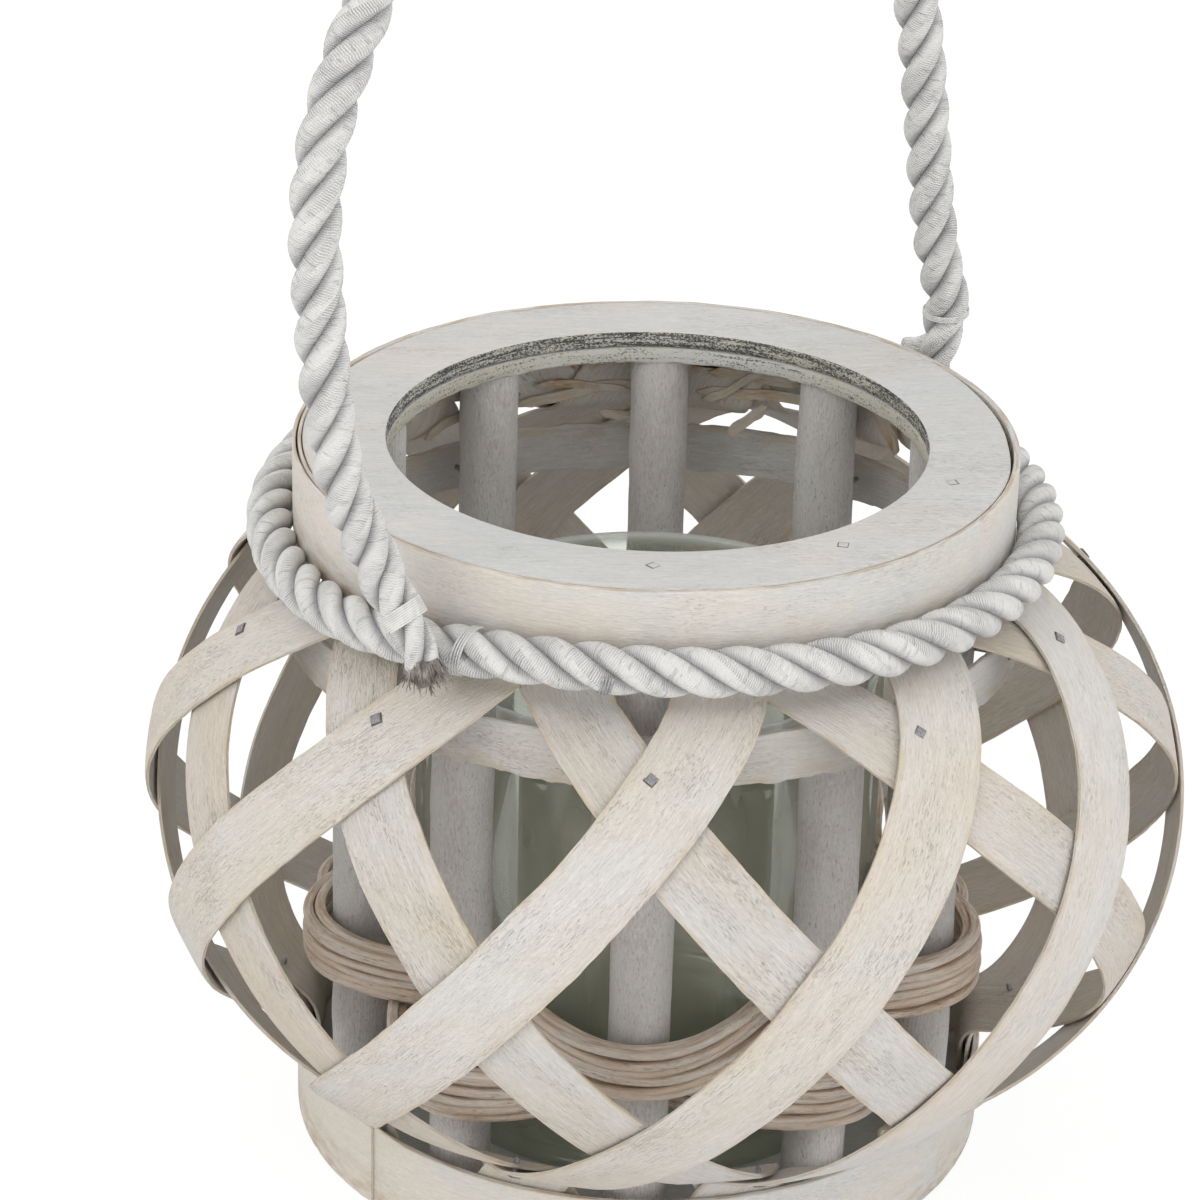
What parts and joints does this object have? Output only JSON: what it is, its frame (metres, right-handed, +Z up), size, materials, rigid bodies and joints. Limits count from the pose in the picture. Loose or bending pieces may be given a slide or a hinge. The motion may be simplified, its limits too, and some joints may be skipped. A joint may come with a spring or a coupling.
{
  "type": "hurricane candle lantern",
  "caption": "Round basket lantern of crossed wood strips on upright sticks, with a wooden top ring, a lift-out glass cylinder for a candle and a swinging rope bail.",
  "frame": {"origin": "centre of the underside of the base board", "axes": "+Z up; the bail's plane and its swing line run along X; the lashed foot of the bail that leans outward is on the -X side"},
  "size_m": [0.3208, 0.3174, 0.4517],
  "materials": {
    "board_wood": "white wash brushed thin over straight-grained board",
    "band_wood": "white wash over bent veneer, bare creamy edges",
    "hoop_wood": "thin white wash, ragged lower edge",
    "stick_wood": "mottled grey-white wash over round peeled branches",
    "outer_strip_wood": "white wash over shaved wood strip with fine brown streaks",
    "inner_strip_wood": "thinner white wash, slightly warmer",
    "willow": "split willow strands, lightly washed",
    "rope": "three-strand laid rope, each strand wrapped in fine white thread",
    "thread": "fine waxed thread",
    "wire": "thin bright wire",
    "nail_steel": "small square-headed steel brads, slightly dull",
    "glass": "clear glass with a faint grey-green tint"
  },
  "bodies": {
    "basket": {"top_board": "board_wood", "under_board": "board_wood", "rim_band": "band_wood", "neck_hoop": "hoop_wood", "base_board": "board_wood", "base_band": "band_wood", "upright_01": "stick_wood", "upright_02": "stick_wood", "upright_03": "stick_wood", "upright_04": "stick_wood", "upright_05": "stick_wood", "upright_06": "stick_wood", "upright_07": "stick_wood", "upright_08": "stick_wood", "upright_09": "stick_wood", "upright_10": "stick_wood", "outer_strip_01": "outer_strip_wood", "outer_strip_02": "outer_strip_wood", "outer_strip_03": "outer_strip_wood", "outer_strip_04": "outer_strip_wood", "outer_strip_05": "outer_strip_wood", "outer_strip_06": "outer_strip_wood", "outer_strip_07": "outer_strip_wood", "outer_strip_08": "outer_strip_wood", "outer_strip_09": "outer_strip_wood", "outer_strip_10": "outer_strip_wood", "inner_strip_01": "inner_strip_wood", "inner_strip_02": "inner_strip_wood", "inner_strip_03": "inner_strip_wood", "inner_strip_04": "inner_strip_wood", "inner_strip_05": "inner_strip_wood", "inner_strip_06": "inner_strip_wood", "inner_strip_07": "inner_strip_wood", "inner_strip_08": "inner_strip_wood", "inner_strip_09": "inner_strip_wood", "inner_strip_10": "inner_strip_wood", "wale_upper": "willow", "wale_lower": "willow", "neck_rope": "rope", "neck_tie_left": "wire", "neck_tie_front": "wire", "neck_tie_right": "wire", "ring_brads": "nail_steel", "hoop_nails": "nail_steel", "neck_nails": "nail_steel", "foot_nails": "nail_steel", "base_brads": "nail_steel"},
    "bail": {"bail_rope": "rope", "lashing_left": "thread", "lashing_right": "thread"},
    "glass": {"glass_cylinder": "glass"}
  },
  "joints": [
    {"name": "bail_swing", "type": "hinge", "parent": "basket", "child": "bail", "pos_m": [0, -0.014, 0.208], "axis": [1, 0, 0], "range_deg": [-70, 80]},
    {"name": "glass_lift", "type": "slide", "parent": "basket", "child": "glass", "axis": [0, 0, 1], "range_m": [0, 0.22]}
  ]
}
